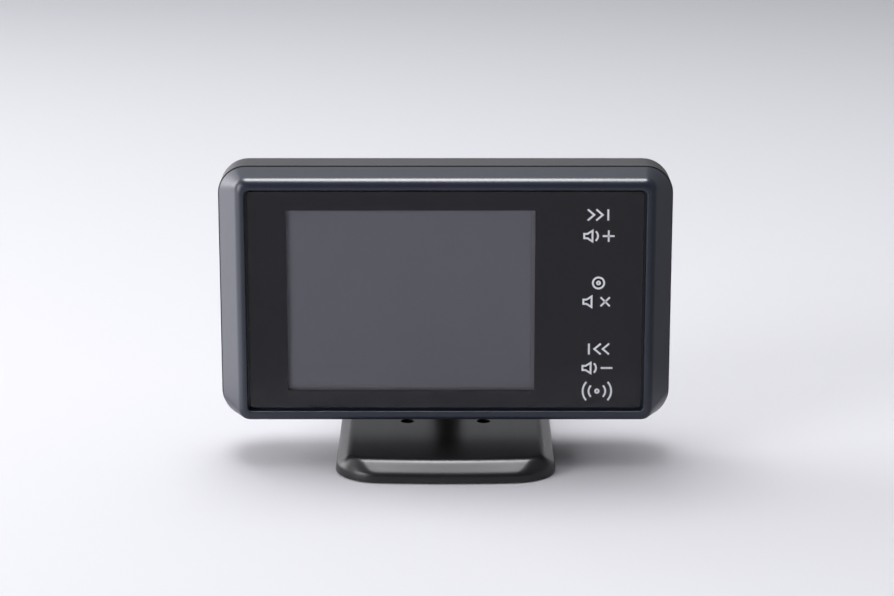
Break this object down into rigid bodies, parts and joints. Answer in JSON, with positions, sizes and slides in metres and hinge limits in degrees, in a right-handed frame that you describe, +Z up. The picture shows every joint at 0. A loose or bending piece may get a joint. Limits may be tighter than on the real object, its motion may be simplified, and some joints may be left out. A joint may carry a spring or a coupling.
{
  "type": "radar detector",
  "caption": "Dashboard radar and laser detector: a flat display head with touch keys on a ball-jointed adhesive stand, with its electronics inside.",
  "frame": {"origin": "middle of the stand's underside, on the dashboard", "axes": "+Z up, the screen faces -Y, +X to the viewer's right when facing the screen"},
  "size_m": [0.092, 0.0556, 0.0612],
  "materials": {
    "bezel_paint": "satin dark blue-grey paint on moulded plastic",
    "case_black": "fine-textured black",
    "cover_glass": "hard-coated clear sheet over a black print, gloss",
    "foam_tape": "black adhesive foam",
    "film": "amber polyimide film",
    "lcd": "dark grey polarised panel",
    "white_plastic": "white moulding",
    "board": "green solder mask on laminate",
    "tin_plate": "tinned steel",
    "die_cast": "as cast",
    "ceramic": "fired ceramic with a silver plate",
    "paper": "pressed paper cone",
    "laser_filter": "very dark red infrared filter",
    "screw_steel": "zinc-plated, darkened",
    "stand_black": "satin black",
    "chrome_ball": "polished"
  },
  "bodies": {
    "stand": {"stand_base": "stand_black", "base_pad": "foam_tape", "stand_neck": "stand_black", "neck_screw": "screw_steel"},
    "ball": {"ball_stud": "chrome_ball"},
    "seat": {"ball_seat": "white_plastic"},
    "bracket": {"mount_bracket": "stand_black"},
    "nut": {"lock_nut": "stand_black"},
    "card": {"memory_card": "case_black"},
    "switch_knob": {"power_switch_knob": "case_black"},
    "head": {"front_bezel": "bezel_paint", "rear_cover": "case_black", "cover_glass": "cover_glass", "glass_tape": "foam_tape", "touch_key_film": "film", "lcd_panel": "lcd", "lcd_backlight": "white_plastic", "lcd_flex": "film", "main_board": "board", "processor_shield": "tin_plate", "backup_cell": "tin_plate", "gps_patch_antenna": "ceramic", "horn_antenna": "die_cast", "speaker_basket": "tin_plate", "speaker_cone": "paper", "speaker_magnet": "die_cast", "laser_window": "laser_filter", "laser_sensor": "case_black", "power_jack": "case_black", "option_jack": "case_black", "card_socket": "tin_plate", "power_switch_body": "tin_plate", "case_screw_lower_left": "screw_steel", "case_screw_upper_left": "screw_steel", "case_screw_lower_right": "screw_steel", "case_screw_upper_right": "screw_steel"}
  },
  "joints": [
    {"name": "pan", "type": "hinge", "parent": "stand", "child": "ball", "pos_m": [0, 0.0169, 0.03], "axis": [0, 0, 1], "range_deg": [-20, 20]},
    {"name": "tilt", "type": "hinge", "parent": "ball", "child": "seat", "pos_m": [0, 0.0169, 0.03], "axis": [1, 0, 0], "range_deg": [-15, 3]},
    {"name": "roll", "type": "hinge", "parent": "seat", "child": "bracket", "pos_m": [0, 0.0169, 0.03], "axis": [0, 1, 0], "range_deg": [-4, 4]},
    {"name": "nut_turn", "type": "hinge", "parent": "bracket", "child": "nut", "pos_m": [0, 0.0169, 0.03], "axis": [0, 0, 1], "range_deg": [0, 180]},
    {"name": "head_lift", "type": "slide", "parent": "bracket", "child": "head", "axis": [0, 0, 1], "range_m": [0, 0.018]},
    {"name": "card_slide", "type": "slide", "parent": "head", "child": "card", "axis": [1, 0, 0], "range_m": [0, 0.0135]},
    {"name": "power_slide", "type": "slide", "parent": "head", "child": "switch_knob", "axis": [0, 0, 1], "range_m": [0, 0.002]}
  ]
}
